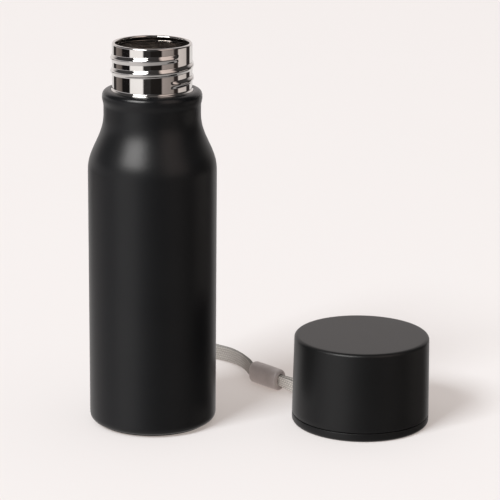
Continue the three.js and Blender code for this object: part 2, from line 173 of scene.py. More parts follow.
# ---------------------------------------------------------------- curves
def centripetal(points, step):
    """A smooth curve through points (Catmull-Rom, centripetal), sampled about every step."""
    points = [Vector(p) for p in points]
    padded = [2 * points[0] - points[1], *points, 2 * points[-1] - points[-2]]
    made = []
    for before, start, end, after in zip(padded, padded[1:], padded[2:], padded[3:]):
        spans = [
            max((b - a).length ** 0.5, 1e-6)
            for a, b in ((before, start), (start, end), (end, after))
        ]
        leave = (start - before) / spans[0] - (end - before) / (spans[0] + spans[1])
        leave = (leave + (end - start) / spans[1]) * spans[1]
        arrive = (end - start) / spans[1] - (after - start) / (spans[1] + spans[2])
        arrive = (arrive + (after - end) / spans[2]) * spans[1]
        count = max(2, math.ceil((end - start).length / step))
        for i in range(count):
            t = i / count
            made.append(
                start
                + leave * t
                + (3 * (end - start) - 2 * leave - arrive) * t ** 2
                + (2 * (start - end) + leave + arrive) * t ** 3
            )
    made.append(points[-1])
    return made


def bezier(start, first, second, end, steps):
    """Points of a cubic Bezier in the plane, without its start."""
    made = []
    for i in range(1, steps + 1):
        t = i / steps
        weights = ((1 - t) ** 3, 3 * t * (1 - t) ** 2, 3 * t * t * (1 - t), t ** 3)
        made.append(tuple(
            sum(w * p[axis] for w, p in zip(weights, (start, first, second, end)))
            for axis in (0, 1)
        ))
    return made


def arc(centre, radius, start, end, steps):
    """Points of an arc between two angles in degrees, both ends in."""
    made = []
    for i in range(steps + 1):
        angle = math.radians(start + (end - start) * i / steps)
        made.append((centre[0] + radius * math.cos(angle), centre[1] + radius * math.sin(angle)))
    return made


def line(start, end, steps):
    """Points of a straight line, without its start."""
    return [
        tuple(a + (b - a) * i / steps for a, b in zip(start, end))
        for i in range(1, steps + 1)
    ]


def inset(path, wall):
    """The same outline moved to its left by wall: inwards, where it is drawn from the bottom up."""
    made = []
    for i, (x, y) in enumerate(path):
        before, after = path[max(i - 1, 0)], path[min(i + 1, len(path) - 1)]
        dx, dy = after[0] - before[0], after[1] - before[1]
        length = math.hypot(dx, dy)
        made.append((max(x - dy / length * wall, 0.0), y + dx / length * wall))
    return made


# ---------------------------------------------------------------- meshes
def mesh_object(name, vertices, faces, sharp=32.0):
    """A smooth-shaded object of metres, with edges over the sharp angle kept crisp."""
    mesh = bpy.data.meshes.new(name)
    mesh.from_pydata(vertices, [], faces)
    mesh.validate()
    mesh.polygons.foreach_set("use_smooth", [True] * len(mesh.polygons))
    mesh.set_sharp_from_angle(angle=math.radians(sharp))
    made = bpy.data.objects.new(name, mesh)
    bpy.context.scene.collection.objects.link(made)
    return made


def lathe(name, outline, centre=0.0, sides=192, swell=None, sharp=32.0):
    """A closed outline of (radius, height) in millimetres turned about Z at (centre, 0). Its area
    lies to the left of its path. swell(angle, radius, height) adds to the radius."""
    vertices, rings = [], []
    for radius, height in outline:
        if radius < 1e-6:
            rings.append([len(vertices)] * sides)
            vertices.append((centre * MM, 0.0, height * MM))
            continue
        rings.append(list(range(len(vertices), len(vertices) + sides)))
        for i in range(sides):
            angle = 2 * math.pi * i / sides
            reach = radius + (swell(angle, radius, height) if swell else 0.0)
            vertices.append((
                (centre + reach * math.cos(angle)) * MM,
                reach * math.sin(angle) * MM,
                height * MM,
            ))
    faces = []
    for low, high in zip(rings, rings[1:] + rings[:1]):
        for i in range(sides):
            j = (i + 1) % sides
            corners = [low[i], low[j], high[j], high[i]]
            face = [c for k, c in enumerate(corners) if c != corners[k - 1]]
            if len(set(face)) >= 3:
                faces.append(face)
    return mesh_object(name, vertices, faces, sharp)


def sweep(name, route, section):
    """A closed section carried upright along route. section(i) gives its (side, up) points in metres
    at point i. The ends are closed."""
    upright = Vector((0.0, 0.0, 1.0))
    vertices, faces = [], []
    last = len(route) - 1
    for i, point in enumerate(route):
        ahead = (route[min(i + 1, last)] - route[max(i - 1, 0)]).normalized()
        side = ahead.cross(upright).normalized()
        up = side.cross(ahead)
        ring = section(i)
        for across, rise in ring:
            vertices.append(point + side * across + up * rise)
    around = len(ring)
    for i in range(last):
        for k in range(around):
            a, b = i * around + k, i * around + (k + 1) % around
            faces.append((a, a + around, b + around, b))
    faces.append(tuple(range(around)))
    faces.append(tuple(reversed(range(last * around, (last + 1) * around))))
    return mesh_object(name, vertices, faces, sharp=80.0)


def settle(piece, body, slot, look, *nodes):
    """Gives a new piece its material and body, and the CAD nodes that it stands for."""
    piece.data.materials.clear()
    piece.data.materials.append(look)
    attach(piece, body)
    if nodes:
        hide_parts(*nodes)
    return piece


def in_lug_frame(radial, sideways, height):
    """A point given from the cap's axis along the lug, in metres, moved to the frame."""
    angle = math.radians(LUG_ANGLE)
    return Vector((
        CAP_CENTRE * MM + radial * math.cos(angle) - sideways * math.sin(angle),
        radial * math.sin(angle) + sideways * math.cos(angle),
        height,
    ))


# ---------------------------------------------------------------- materials
def add_node(tree, kind, settings=None, **inputs):
    """A new node in tree. An input goes by its name with _ for a space, or by i and its number, and
    takes a value or another node's output."""
    made = tree.nodes.new(kind)
    for name, value in (settings or {}).items():
        setattr(made, name, value)
    for name, value in inputs.items():
        numbered = name[1:].isdigit()
        socket = made.inputs[int(name[1:]) if numbered else name.replace("_", " ")]
        if isinstance(value, bpy.types.NodeSocket):
            tree.links.new(value, socket)
        else:
            socket.default_value = value
    return made


def calculate(tree, operation, *values, **settings):
    """The output of a new math node on values."""
    inputs = {f"i{i}": value for i, value in enumerate(values)}
    made = add_node(tree, "ShaderNodeMath", {"operation": operation, **settings}, **inputs)
    return made.outputs[0]


class Look:
    """A material made of a Principled shader and the nodes that feed it."""

    def __init__(self, name, **constants):
        self.material = bpy.data.materials.new(name)
        self.material.use_nodes = True
        self.tree = self.material.node_tree
        self.shader = self.tree.nodes["Principled BSDF"]
        for socket, value in constants.items():
            self.shader.inputs[socket.replace("_", " ")].default_value = value
        self.place = self.node("ShaderNodeTexCoord").outputs["Object"]

    def node(self, kind, settings=None, **inputs):
        return add_node(self.tree, kind, settings, **inputs)

    def feed(self, socket, value):
        self.tree.links.new(value, self.shader.inputs[socket])

    def math(self, operation, *values):
        return calculate(self.tree, operation, *values)

    def noise(self, scale, detail=2.0, stretch=(1.0, 1.0, 1.0)):
        """Grains 1/scale metres apart, and longer along an axis whose stretch is under 1."""
        spread = self.node("ShaderNodeMapping", Vector=self.place, Scale=stretch).outputs[0]
        made = self.node("ShaderNodeTexNoise", Vector=spread, Scale=scale, Detail=detail)
        return made.outputs["Fac"]

    def between(self, amount, low, high, first=0.3, second=0.7):
        """low where amount is first, high where it is second."""
        made = self.node(
            "ShaderNodeMapRange", Value=amount, From_Min=first, From_Max=second,
            To_Min=low, To_Max=high,
        )
        return made.outputs[0]

    def tint(self, amount, dark, light, first=0.3, second=0.7):
        """The base colour, from dark where amount is first to light where it is second."""
        ramp = self.node("ShaderNodeValToRGB", Fac=amount)
        for element, place, colour in zip(ramp.color_ramp.elements, (first, second), (dark, light)):
            element.position = place
            element.color = (*colour, 1.0)
        self.feed("Base Color", ramp.outputs["Color"])

    def rough(self, value):
        self.feed("Roughness", value)

    def bump(self, *layers):
        """Each layer is (height socket, depth in metres)."""
        below = {}
        for height, depth in layers:
            made = self.node("ShaderNodeBump", Height=height, Distance=depth, Strength=1.0, **below)
            below = {"Normal": made.outputs[0]}
        self.feed("Normal", made.outputs[0])


def powder_coat():
    """Matt black with a fine peel, handled smooth on the bead's upper edge."""
    look = Look("powder_coat", Specular_IOR_Level=0.46)
    cloud = look.noise(35.0, 3.0)
    grain = look.noise(2600.0, 2.0)
    peel = look.noise(650.0, 1.0)
    look.tint(cloud, (0.0040, 0.0041, 0.0047), (0.0051, 0.0051, 0.0056))
    height = look.node("ShaderNodeSeparateXYZ", Vector=look.place).outputs["Z"]
    handled = look.between(height, 0.0, 0.11, BEAD_MIDDLE * MM, (BEAD_MIDDLE + 1.5) * MM)
    look.rough(look.math("SUBTRACT", look.between(grain, 0.34, 0.40), handled))
    look.bump((peel, 0.00001), (grain, 0.000012))
    return look.material


def mirror_steel():
    """Polished steel with faint turned lines and smudges."""
    look = Look("mirror_steel", Metallic=1.0)
    lines = look.noise(900.0, 2.0, (0.04, 0.04, 1.0))
    smudge = look.noise(90.0, 3.0)
    look.tint(smudge, (0.80, 0.775, 0.755), (0.86, 0.84, 0.82))
    look.rough(look.between(smudge, 0.035, 0.075))
    look.bump((lines, 0.0000006))
    return look.material


def liner_steel():
    """Duller drawn steel, with turned lines and upright streaks."""
    look = Look("liner_steel", Metallic=1.0)
    lines = look.noise(1600.0, 2.0, (0.05, 0.05, 1.0))
    streaks = look.noise(170.0, 2.0, (1.0, 1.0, 0.02))
    look.tint(streaks, (0.50, 0.45, 0.42), (0.98, 0.93, 0.89), 0.36, 0.62)
    look.rough(look.between(lines, 0.12, 0.20))
    look.bump((lines, 0.000003))
    return look.material


def moulded_plastic(name, dark, light, low, high, level):
    """Plastic with a fine mould grain. Its roughness runs from low to high."""
    look = Look(name, Specular_IOR_Level=level)
    grain_size = 0.00045
    cloud = look.noise(45.0, 3.0)
    grain = look.noise(1.0 / grain_size)
    look.tint(cloud, dark, light)
    look.rough(look.between(grain, low, high))
    look.bump((grain, 0.000012))
    return look.material


def plain_metal(name, dark, light, low, high):
    """Metal with fine scratches along Y. Its roughness runs from low to high."""
    look = Look(name, Metallic=1.0)
    scratch = look.noise(900.0, 3.0, (1.0, 0.15, 1.0))
    look.tint(scratch, dark, light)
    look.rough(look.between(scratch, low, high))
    look.bump((scratch, 0.000006))
    return look.material


def silicone(name, dark, light, low, high, level=0.4, weight=0.0):
    """A soft matt material with a fine skin. weight is how much light passes under its surface."""
    look = Look(name, Specular_IOR_Level=level)
    if weight:
        look.shader.inputs["Subsurface Weight"].default_value = weight
        look.shader.inputs["Subsurface Scale"].default_value = 0.002
    cloud = look.noise(160.0, 4.0)
    grain = look.noise(2400.0, 2.0)
    look.tint(cloud, dark, light)
    look.rough(look.between(cloud, low, high))
    look.bump((grain, 0.00002), (cloud, 0.00008))
    return look.material


def woven(name, dark, light, sheen):
    """Fine fibres over the weave that the mesh has. Its mesh attribute of painted shade darkens the
    grooves, the crossings and the edges in the colour."""
    look = Look(name, Specular_IOR_Level=0.2, Sheen_Weight=sheen, Sheen_Roughness=0.5)
    fibre = look.noise(2600.0, 3.0)
    painted_weave_shade = look.node("ShaderNodeAttribute", {"attribute_name": "painted_weave_shade"}).outputs["Fac"]
    worn = look.math("SUBTRACT", look.math("MULTIPLY", fibre, 0.5), 0.25)
    look.tint(look.math("ADD", painted_weave_shade, worn), dark, light, 0.0, 1.0)
    look.rough(look.between(fibre, 0.75, 0.95))
    look.bump((fibre, 0.00006))
    return look.material


# ---------------------------------------------------------------- flask
def flask_body(look):
    """The coated outer wall: foot, body, shoulder, waist, and the rolled bead with its ledge."""
    run = WAIST_BOTTOM - SHOULDER_START
    face = [(BODY_RADIUS - CORNER_RADIUS, FOOT_EDGE)]
    face += bezier(
        face[-1], (BODY_RADIUS - CORNER_RADIUS / 3, FOOT_EDGE),
        (BODY_RADIUS, FOOT_EDGE + CORNER_RADIUS / 3), (BODY_RADIUS, FOOT_EDGE + CORNER_RADIUS), 14,
    )
    face += line(face[-1], (BODY_RADIUS, SHOULDER_START), 24)
    face += bezier(
        face[-1], (BODY_RADIUS, SHOULDER_START + SHOULDER_PULL * run),
        (WAIST_RADIUS, WAIST_BOTTOM - WAIST_PULL * run), (WAIST_RADIUS, WAIST_BOTTOM), 40,
    )
    face += line(face[-1], (WAIST_RADIUS, WAIST_TOP), 4)
    face += bezier(
        face[-1], (WAIST_RADIUS, WAIST_TOP + 2), (BEAD_RADIUS, WAIST_TOP + 3),
        (BEAD_RADIUS, BEAD_MIDDLE), 12,
    )
    face += bezier(
        face[-1], (BEAD_RADIUS, BEAD_MIDDLE + 2.4), (BEAD_RADIUS - 1.1, LEDGE_HEIGHT),
        (LEDGE_RADIUS + 0.9, LEDGE_HEIGHT), 14,
    )
    face += bezier(
        face[-1], (LEDGE_RADIUS + 0.4, LEDGE_HEIGHT), (LEDGE_RADIUS, LEDGE_HEIGHT - 0.1),
        (LEDGE_RADIUS, LEDGE_HEIGHT - 0.5), 5,
    )
    inner = inset(face, STEEL_WALL)[::3]
    body = lathe("flask_body", face + inner[::-1], sides=256)
    return settle(body, "flask", "powder_coat", look, "outer_shell")


def thread_height(angle, height):
    """How far the rolled thread stands out of the neck at an angle and a height in millimetres."""
    turn = math.degrees(angle) - THREAD_ANGLE
    spare = 0.02  # turns past each end, over which the ridge sinks into the wall
    tallest = 0.0
    for whole in range(-1, 4):
        along = turn / 360.0 + whole
        if not -spare <= along <= THREAD_TURNS + spare:
            continue
        from_start, from_end = along + spare, THREAD_TURNS + spare - along
        fullness = min(from_start / THREAD_RISE, from_end / THREAD_FALL, 1.0)
        offset = (height - THREAD_START - THREAD_PITCH * along) / (THREAD_WIDTH * 0.5)
        if abs(offset) < 1.0:
            ridge = (1.0 - offset ** 2) ** 1.5
            tallest = max(tallest, THREAD_HEIGHT * ridge * math.sin(0.5 * math.pi * fullness))
    return tallest


def flask_neck(look):
    """The bare neck with its rolled lip and thread, from inside the ledge up."""
    lip = (NECK_RADIUS - MOUTH_RADIUS) / 2
    foot = LEDGE_HEIGHT + 0.25
    hidden = LEDGE_HEIGHT - 3.5
    outline = [(NECK_RADIUS - LINER_WALL, hidden), (LEDGE_RADIUS - 0.05, hidden)]
    outline += line(outline[-1], (LEDGE_RADIUS - 0.05, foot - 0.5), 4)
    outline += bezier(
        outline[-1], (LEDGE_RADIUS - 0.1, foot), (NECK_RADIUS, foot),
        (NECK_RADIUS, foot + 0.9), 10,
    )
    outline += line(outline[-1], (NECK_RADIUS, MOUTH_HEIGHT - lip), 130)
    outline += arc((NECK_RADIUS - lip, MOUTH_HEIGHT - lip), lip, 0, 180, 18)[1:]
    outline += [(MOUTH_RADIUS, MOUTH_HEIGHT - 2.4), (MOUTH_RADIUS + LINER_WALL + 0.3, MOUTH_HEIGHT - 3)]
    outline += line(outline[-1], (NECK_RADIUS - LINER_WALL, hidden), 6)[:-1]

    def swell(angle, radius, height):
        on_wall = radius > NECK_RADIUS - 0.01 and height > foot + 0.8
        return thread_height(angle, height) if on_wall else 0.0

    neck = lathe("flask_neck", outline, sides=288, swell=swell, sharp=60.0)
    return settle(neck, "flask", "mirror_steel", look, "threaded_neck")


def flask_liner(look):
    """The inner wall: a straight side, a shoulder under the coated one, and the neck's inside."""
    neck = MOUTH_RADIUS + LINER_WALL
    shoulder_low, shoulder_high = 139.0, 170.0
    face = [(LINER_RADIUS, liner_low.z / MM)]
    face += line(face[-1], (LINER_RADIUS, shoulder_low), 10)
    face += bezier(
        face[-1], (LINER_RADIUS, shoulder_low + 13), (neck, shoulder_high - 14),
        (neck, shoulder_high), 28,
    )
    face += line(face[-1], (neck, liner_high.z / MM), 90)
    inner = inset(face, LINER_WALL)

    def swell(angle, radius, height):
        """The rolled thread shows faintly inside the mouth too."""
        return 0.22 * thread_height(angle, height) if radius < MOUTH_RADIUS + 0.1 else 0.0

    liner = lathe("flask_liner", face + inner[::-1], swell=swell, sharp=60.0)
    return settle(liner, "flask", "liner_steel", look, "inner_liner")


def flask_bottom(look):
    """The liner's dished bottom."""
    low, high = bottom_low.z / MM, bottom_high.z / MM
    edge = 3.4
    face = [(0.0, low + 1.2)]
    face += line(face[-1], (LINER_RADIUS - edge, low), 12)
    face += bezier(
        face[-1], (LINER_RADIUS - edge / 3, low), (LINER_RADIUS, low + edge / 3),
        (LINER_RADIUS, low + edge), 10,
    )
    face += [(LINER_RADIUS, high)]
    inner = inset(face, LINER_WALL)
    bottom = lathe("liner_floor", face + inner[::-1], sharp=50.0)
    return settle(bottom, "flask", "liner_steel", look, "liner_bottom")


def flask_foot(cover_look, pad_look):
    """The plate under the flask, and the pad in its recess with round ribs to stand on."""
    rim = BODY_RADIUS - CORNER_RADIUS + 0.4
    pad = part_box("base_pad")[1].x / MM
    recess = pad + 0.4
    cover_outline = [(0, FOOT_EDGE + 0.3), (recess, FOOT_EDGE + 0.3), (recess, 0.3)]
    cover_outline += arc((rim - 0.3, 0.6), 0.3, -90, 0, 6)
    cover_outline += [
        (rim, FOOT_EDGE - 0.3), (recess + 0.9, FOOT_EDGE - 0.3),
        (recess + 0.9, FOOT_EDGE + 1.2), (0, FOOT_EDGE + 1.2),
    ]
    cover = lathe("foot_cover", cover_outline)
    settle(cover, "flask", "cover_plastic", cover_look, "base_cover")
    groove = 0.4
    pad_outline = [(0, groove)]
    for rib in range(4, 26, 3):
        pad_outline += [(rib, groove), (rib + 0.4, 0.0), (rib + 1.9, 0.0), (rib + 2.3, groove)]
    pad_outline += arc((pad - 0.5, 0.5), 0.5, -90, 0, 6)
    pad_outline += [(pad, FOOT_EDGE), (0, FOOT_EDGE)]
    settle(lathe("foot_pad", pad_outline), "flask", "pad_rubber", pad_look, "base_pad")


# ---------------------------------------------------------------- cap
def cap_cover(look):
    """The cap's outer shell: a slightly tapered cup with a rounded top edge."""
    rim = 0.35
    top = CAP_HEIGHT
    outline = arc((CAP_RADIUS - rim, SHELL_BOTTOM + rim), rim, -90, 0, 5)
    outline += line(outline[-1], (CAP_TOP_RADIUS, top - CAP_EDGE), 16)
    outline += arc((CAP_TOP_RADIUS - CAP_EDGE, top - CAP_EDGE), CAP_EDGE, 0, 90, 14)[1:]
    outline += line(outline[-1], (0.0, top), 16)
    outline += [(0.0, top - CAP_WALL), (CAP_TOP_RADIUS - CAP_EDGE, top - CAP_WALL)]
    outline += [(CAP_TOP_RADIUS - CAP_WALL, top - CAP_EDGE), (CAP_RADIUS - CAP_WALL, SHELL_BOTTOM)]
    cover = lathe("cap_cover", outline, CAP_CENTRE, sides=256)
    return settle(cover, "cap", "cap_plastic", look, "cap_shell")


def swivel_ring(look):
    """The ring that the cap turns in, at its open end, with a lip that reaches in over the insert."""
    rim = 0.3
    step = 2.0
    outline = [(RING_BORE, 0.0)]
    outline += arc((CAP_RADIUS - CAP_EDGE, CAP_EDGE), CAP_EDGE, -90, 0, 14)
    outline += arc((CAP_RADIUS - rim, RING_HEIGHT - rim), rim, 0, 90, 5)
    outline += [(RING_LIP, RING_HEIGHT), (RING_LIP, step), (RING_BORE, step)]
    ring = lathe("swivel_ring", outline, CAP_CENTRE, sides=256)
    return settle(ring, "strap_holder", "ring_plastic", look, "strap_ring")


def lug(look):
    """The lug on the swivel ring: a C, open away from the cap, that holds the tape's pin."""
    root, back = CAP_RADIUS - 1.0, CAP_RADIUS + 0.6
    jaw = LUG_JAW
    tip, fillet = 0.9, 2.5
    outline = [(root, LUG_BOTTOM), (jaw["end"] - 0.5, LUG_BOTTOM), (jaw["end"], LUG_BOTTOM + 0.5)]
    outline += [(jaw["end"], jaw["bottom"])]
    outline += arc((jaw["start"] + 1, jaw["bottom"] + 1), 1.0, 270, 180, 8)
    outline += arc((jaw["start"] + 1, jaw["top"] - 1), 1.0, 180, 90, 8)
    outline += [(jaw["end"], jaw["top"])]
    outline += arc((jaw["end"] - tip, LUG_TOP - tip), tip, 0, 90, 8)
    outline += arc((back + fillet, LUG_TOP - fillet), fillet, 90, 180, 10)
    outline += [(back, RING_HEIGHT), (root, RING_HEIGHT)]
    count = len(outline)
    vertices = [
        in_lug_frame(x * MM, sideways * MM, z * MM)
        for sideways in (-LUG_WIDTH / 2, LUG_WIDTH / 2) for x, z in outline
    ]
    faces = [list(range(count)), [count + i for i in reversed(range(count))]]
    for i in range(count):
        j = (i + 1) % count
        faces.append([j, i, count + i, count + j])
    made = mesh_object("ring_lug", vertices, faces)
    bevel = made.modifiers.new("edges", "BEVEL")
    bevel.width = 0.3 * MM
    bevel.segments = 3
    bevel.limit_method = "ANGLE"
    bevel.angle_limit = math.radians(40.0)
    return settle(made, "strap_holder", "ring_plastic", look, "strap_ring")


def pin(look):
    """An upright pin with domed ends through the lug's two arms."""
    low, high = LUG_BOTTOM - 0.1, LUG_TOP + 0.1
    dome = LUG_PIN_RADIUS - 0.5
    profile = [(0.0, low)] + bezier(
        (0.0, low), (dome, low), (LUG_PIN_RADIUS, low + 0.1), (LUG_PIN_RADIUS, low + 0.5), 6,
    )
    profile += line(profile[-1], (LUG_PIN_RADIUS, high - 0.5), 4)
    profile += bezier(
        profile[-1], (LUG_PIN_RADIUS, high - 0.1), (dome, high), (0.0, high), 6,
    )
    made = lathe("lug_pin_shaft", profile, sides=40)
    made.data.transform(Matrix.Translation(in_lug_frame(LUG_PIN_RADIAL * MM, 0.0, 0.0)))
    return settle(made, "strap_holder", "pin_steel", look, "lug_pin")


# ---------------------------------------------------------------- strap
def webbing_band(name, route, width, thickness, ribs, painted_edge_shade, pinch):
    """Woven webbing standing on its edge along route, with lengthwise ribs and each yarn's crossings
    along them. Shade is painted into its colour: darker grooves and crossings, and edges darker by
    the amount given after ribs. pinch(from_end) is its share of width that far from an end. Returns it
    with its length."""
    half_width, half_thickness = width / 2 * MM, thickness / 2 * MM
    crossing_pitch = 1.9 * MM
    rib_shift = 2.4  # radians between one rib's crossings and the next one's
    across = 12 * ribs
    travelled = [0.0]
    for a, b in zip(route, route[1:]):
        travelled.append(travelled[-1] + (b - a).length)
    length = travelled[-1]
    painted_shades = []

    def section(i):
        squeeze = pinch(min(travelled[i], length - travelled[i]))
        ring = []
        for face in (1, -1):
            for k in range(across):
                place = (k + 0.5) / across
                rib = place * ribs
                turn = 2 * math.pi * travelled[i] / crossing_pitch + rib_shift * math.floor(rib)
                crown = abs(math.sin(math.pi * rib)) ** 0.6  # 0 in a groove, 1 on a rib
                crossing = 0.5 + 0.5 * math.cos(turn)
                edge = (1.0 - abs(2 * place - 1) ** 8) ** 0.5
                raised = 0.36 * crown * (0.8 + 0.2 * crossing)
                ring.append((
                    half_thickness * (0.64 + raised) * edge * face,
                    (2 * place - 1) * face * half_width * squeeze,
                ))
                # Painted shade along both edges: the shade in the gap between the layers and under the
                # lower edge.
                to_edge = min(1.0, (1.0 - abs(2 * place - 1)) * width / EDGE_SHADE_WIDTH)
                light = 1.0 - painted_edge_shade * (1.0 - to_edge)
                # Painted shade in the colour: the grooves and the yarn crossings are darker, as shade
                # would make them.
                painted_shades.append(light * (0.25 + 0.45 * crown + 0.3 * crossing))
        return ring

    made = sweep(name, route, section)
    made.data.attributes.new("painted_weave_shade", "FLOAT", "POINT").data.foreach_set("value", painted_shades)
    return made, length


def wrist_strap(look):
    """The strap, a little narrower where the sleeve holds its ends. Returns its route and length too."""
    route = centripetal(STRAP_ROUTE, 0.00045)
    strap, length = webbing_band(
        "wrist_strap_webbing", route, STRAP_WIDTH, STRAP_THICKNESS, 6, 0.5,
        lambda from_end: 1.0 - 0.07 * max(0.0, 1.0 - from_end / (7 * MM)),
    )
    settle(strap, "strap_holder", "webbing", look, "wrist_strap")
    return strap, route, length


def lug_tape(look):
    """The short tape from the sleeve round the lug's pin and back, gathered where it enters."""
    turn = []
    for step in range(7):
        angle = math.pi / 2 + math.pi * step / 6
        turn.append((
            (LUG_PIN_RADIAL + TAPE_TURN_RADIUS * math.cos(angle)) * MM,
            TAPE_TURN_RADIUS * math.sin(angle) * MM,
            TAPE_SIDE[-1][2],
        ))
    back = [(radial, -sideways, height) for radial, sideways, height in reversed(TAPE_SIDE)]
    points = [in_lug_frame(*point) for point in TAPE_SIDE + turn + back]
    route = centripetal(points, 0.0003)
    tape, _ = webbing_band(
        "lug_tape_webbing", route, TAPE_WIDTH, TAPE_THICKNESS, 5, 1.0,
        lambda from_end: 1.0 - 0.12 * min(1.0, max(0.0, (16 * MM - from_end) / (11 * MM))),
    )
    return settle(tape, "strap_holder", "webbing", look, "lug_tape")


def rounded_ring(width, height, corner):
    """Points round a rectangle with round corners, evenly spread by angle, counter-clockwise."""
    made = []
    for k in range(SLEEVE_RING_POINTS):
        angle = 2 * math.pi * k / SLEEVE_RING_POINTS
        x, y = math.cos(angle), math.sin(angle)
        power = 2.0 / (1.0 - 0.55 * (1.0 - 2 * corner / min(width, height)))
        size = (abs(x) ** power + abs(y) ** power) ** (-1.0 / power)
        made.append((x * size * width / 2, y * size * height / 2))
    return made


def strap_sleeve(look):
    """The soft tube over the joint of the strap and the tape: rounded ends and an open slot."""
    edge = 1.3
    length = SLEEVE_FAR - SLEEVE_NEAR
    rounding = arc((edge, -edge), edge, 180, 90, 8)
    swelling = [
        (edge + (length - 2 * edge) * i / 16, 0.12 * math.sin(math.pi * i / 16)) for i in range(1, 16)
    ]
    outside = rounding + swelling + [(length - x, grow) for x, grow in reversed(rounding)]
    chamfer, flare = 0.5, 0.35  # the bore opens a little at both mouths
    inside = [
        (length, SLEEVE_BORE_HEIGHT + flare), (length - chamfer, SLEEVE_BORE_HEIGHT),
        (SLEEVE_BORE_STEP + chamfer, SLEEVE_BORE_HEIGHT), (SLEEVE_BORE_STEP, TAPE_WIDTH),
        (chamfer, TAPE_WIDTH), (0.0, TAPE_WIDTH + flare),
    ]
    vertices, rings = [], []

    def add_ring(x, width, height, corner):
        rings.append(range(len(vertices), len(vertices) + SLEEVE_RING_POINTS))
        for side, up in rounded_ring(width, height, corner):
            vertices.append(in_lug_frame(
                (SLEEVE_NEAR + x) * MM, side * MM, (SLEEVE_MIDDLE + up) * MM,
            ))

    for x, grow in outside:
        add_ring(x, SLEEVE_THICKNESS + 2 * grow, SLEEVE_HEIGHT + 2 * grow, 3.6)
    for x, height in inside:
        add_ring(x, SLEEVE_BORE_WIDTH, height, 1.6)
    faces = []
    for low, high in zip(rings, rings[1:] + rings[:1]):
        for k in range(SLEEVE_RING_POINTS):
            n = (k + 1) % SLEEVE_RING_POINTS
            faces.append((low[k], low[n], high[n], high[k]))
    sleeve = mesh_object("strap_sleeve_tube", vertices, faces, sharp=50.0)
    return settle(sleeve, "strap_holder", "sleeve_silicone", look, "strap_sleeve")


# ---------------------------------------------------------------- studio
FLOOR_COLOUR = (0.50, 0.478, 0.472)
FLOOR_PAINTED_GLOW = (0.325, 0.285, 0.262)  # painted light: the sheet glows by itself, which keeps its shadows light


def floor():
    """A wide pale sheet that everything stands on. It glows with painted light, which keeps its shadows
    light.
    """
    look = Look(
        "studio_floor", Specular_IOR_Level=0.1, Roughness=0.9,
        Emission_Color=(*FLOOR_PAINTED_GLOW, 1.0), Emission_Strength=1.0,
    )
    look.tint(look.noise(4.0), tuple(c * 0.995 for c in FLOOR_COLOUR), FLOOR_COLOUR)
    look.bump((look.noise(1500.0), 0.000004))
    half = 12.0
    vertices = [(-half, -half, 0.0), (half, -half, 0.0), (half, half, 0.0), (-half, half, 0.0)]
    made = mesh_object("studio_floor", vertices, [(0, 1, 2, 3)])
    made.data.materials.append(look.material)
    made.visible_glossy = False  # gloss sees the studio below the horizon in the world instead


# The studio's soft light on matt surfaces: dim from the sides, bright from overhead.
SIDE_LIGHT = (0.24, 0.235, 0.234)
TOP_LIGHT = (0.86, 0.842, 0.838)
PALE_WALL = (0.90, 0.86, 0.845)  # the backdrop beyond the sheet

# What gloss sees round the studio: degrees round from the camera's side (right is positive), and
# the light there, as a band's two ends. The cards stand just below the level of the objects' tops,
# where polished steel mirrors them. Beside the cards, above and below, the room is plainer.
WHITE_CARD = (0.98, 0.95, 0.93)
BLACK_CARD = (0.01, 0.009, 0.009)
BACKDROP = (0.80, 0.77, 0.755)
FAR_BACKDROP = (0.58, 0.555, 0.54)
SKY_BACKDROP = (0.71, 0.66, 0.645)
CARD_BANDS = [
    (-180, FAR_BACKDROP),
    (-150, BACKDROP), (-145, BACKDROP),
    (-141, (0.03, 0.027, 0.026)), (-125, (0.03, 0.027, 0.026)),
    (-121, (0.22, 0.19, 0.175)), (-96, (0.13, 0.11, 0.10)),
    (-92, BLACK_CARD), (-66, BLACK_CARD),
    (-63, WHITE_CARD), (-25, WHITE_CARD),
    (-22, (0.03, 0.028, 0.027)), (-3, (0.03, 0.028, 0.027)),
    (-1, (0.014, 0.012, 0.011)), (29, (0.014, 0.012, 0.011)),
    (32, (0.36, 0.31, 0.29)), (65, (0.27, 0.235, 0.215)),
    (69, (0.03, 0.024, 0.022)), (81, (0.03, 0.024, 0.022)),
    (84, (0.66, 0.60, 0.565)), (116, (0.58, 0.53, 0.50)),
    (119, (0.03, 0.026, 0.025)), (137, (0.03, 0.026, 0.025)),
    (141, BACKDROP), (150, BACKDROP),
    (180, FAR_BACKDROP),
]
ROOM_BANDS = [
    (-180, BACKDROP), (-138, BACKDROP), (-120, (0.66, 0.63, 0.63)), (-92, (0.50, 0.48, 0.49)),
    (-68, (0.52, 0.50, 0.51)), (-60, (0.62, 0.605, 0.61)), (-32, (0.62, 0.605, 0.62)),
    (-15, (0.30, 0.295, 0.31)), (0, (0.10, 0.098, 0.10)), (15, (0.05, 0.049, 0.048)),
    (95, (0.012, 0.011, 0.010)), (125, (0.015, 0.013, 0.012)), (142, (0.30, 0.275, 0.265)),
    (158, BACKDROP), (180, BACKDROP),
]
SKY_BANDS = [
    (-180, SKY_BACKDROP), (-140, SKY_BACKDROP),
    (-120, (0.05, 0.049, 0.05)), (20, (0.04, 0.037, 0.036)),
    (30, (0.80, 0.67, 0.61)), (62, (0.66, 0.55, 0.505)),
    (75, (0.03, 0.028, 0.027)), (120, (0.05, 0.048, 0.047)),
    (140, SKY_BACKDROP), (180, SKY_BACKDROP),
]
FLOOR_BANDS = [
    (-180, (0.70, 0.67, 0.655)), (-50, (0.62, 0.595, 0.585)), (0, (0.36, 0.345, 0.34)),
    (110, (0.30, 0.285, 0.28)), (150, (0.62, 0.595, 0.58)), (180, (0.70, 0.67, 0.655)),
]
CEILING = (0.10, 0.092, 0.088)

